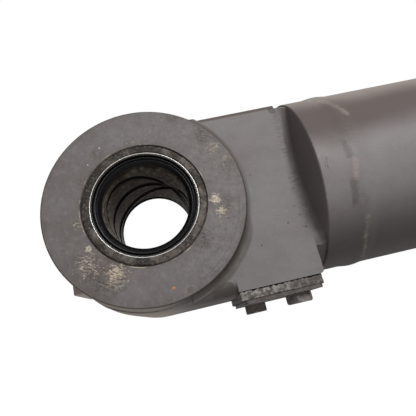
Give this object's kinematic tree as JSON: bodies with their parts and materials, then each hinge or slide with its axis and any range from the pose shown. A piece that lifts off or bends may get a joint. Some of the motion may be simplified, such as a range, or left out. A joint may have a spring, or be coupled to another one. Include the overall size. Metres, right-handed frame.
{
  "type": "telescopic hydraulic cylinder",
  "caption": "Telescopic hydraulic cylinder with a heavy forged base eye, bushed pin bores with seals, bolted port cover, chromed sliding sleeves and a rod eye.",
  "frame": {"origin": "centre of the base eye's pin bore, midway between its faces", "axes": "+X along the cylinder from the base eye to the rod eye, +Y along the base pin, +Z away from the port pad"},
  "size_m": [1.1712, 0.1826, 0.2091],
  "materials": {
    "painted_steel": "satin dark grey paint",
    "painted_weld": "painted weld, worn on the crown",
    "rough_pad": "thin grey paint over rough steel",
    "cover_plate": "grey steel plate",
    "bush_steel": "turned steel, oily brown-grey bore",
    "seal_case": "bright pressed steel",
    "seal_rubber": "oily black rubber",
    "wiper": "dark blue polyurethane",
    "guide_band": "brown phenolic",
    "chrome_tube": "hard chrome",
    "machined_steel": "turned steel",
    "black_oxide_steel": "blackened steel",
    "zinc_steel": "zinc plated"
  },
  "bodies": {
    "barrel": {"barrel_head": "painted_steel", "barrel_head_guide_band": "guide_band", "barrel_head_lock_screw": "black_oxide_steel", "barrel_head_o_ring": "seal_rubber", "barrel_head_rod_seal": "seal_rubber", "barrel_head_wiper": "wiper", "barrel_tube": "painted_steel", "base_end_forging": "painted_steel", "base_eye_bush": "bush_steel", "base_grease_nipple": "zinc_steel", "base_seal_case_front": "seal_case", "base_seal_case_rear": "seal_case", "base_seal_lip_front": "seal_rubber", "base_seal_lip_rear": "seal_rubber", "base_weld_bead": "painted_weld", "port_cover_bolts": "black_oxide_steel", "port_cover_o_ring": "seal_rubber", "port_cover_plate": "cover_plate", "port_pad": "rough_pad"},
    "stage_1": {"sleeve_1_foot": "machined_steel", "sleeve_1_foot_band": "guide_band", "sleeve_1_head": "machined_steel", "sleeve_1_head_guide_band": "guide_band", "sleeve_1_head_lock_screw": "black_oxide_steel", "sleeve_1_head_o_ring": "seal_rubber", "sleeve_1_head_rod_seal": "seal_rubber", "sleeve_1_head_wiper": "wiper", "sleeve_1_stop_ring": "machined_steel", "sleeve_1_tube": "chrome_tube"},
    "stage_2": {"sleeve_2_foot": "machined_steel", "sleeve_2_foot_band": "guide_band", "sleeve_2_head": "machined_steel", "sleeve_2_head_guide_band": "guide_band", "sleeve_2_head_lock_screw": "black_oxide_steel", "sleeve_2_head_o_ring": "seal_rubber", "sleeve_2_head_rod_seal": "seal_rubber", "sleeve_2_head_wiper": "wiper", "sleeve_2_stop_ring": "machined_steel", "sleeve_2_tube": "chrome_tube"},
    "plunger_guide": {"plunger_foot_band": "guide_band", "plunger_stop_ring": "machined_steel"},
    "plunger": {"bleed_screw": "black_oxide_steel", "plunger_foot": "machined_steel", "plunger_tube": "chrome_tube", "plunger_weld_bead": "painted_weld", "rod_eye_bush": "bush_steel", "rod_eye_forging": "painted_steel", "rod_grease_nipple": "zinc_steel", "rod_seal_case_front": "seal_case", "rod_seal_case_rear": "seal_case", "rod_seal_lip_front": "seal_rubber", "rod_seal_lip_rear": "seal_rubber"}
  },
  "joints": [
    {"name": "stage_1_slide", "type": "slide", "parent": "barrel", "child": "stage_1", "axis": [1, 0, 0], "range_m": [0, 0.4675]},
    {"name": "stage_2_slide", "type": "slide", "parent": "stage_1", "child": "stage_2", "axis": [1, 0, 0], "range_m": [0, 0.5125]},
    {"name": "plunger_slide", "type": "slide", "parent": "stage_2", "child": "plunger_guide", "axis": [1, 0, 0], "range_m": [0, 0.5455]},
    {"name": "plunger_turn", "type": "hinge", "parent": "plunger_guide", "child": "plunger", "pos_m": [1, 0, 0], "axis": [1, 0, 0], "continuous": true}
  ]
}
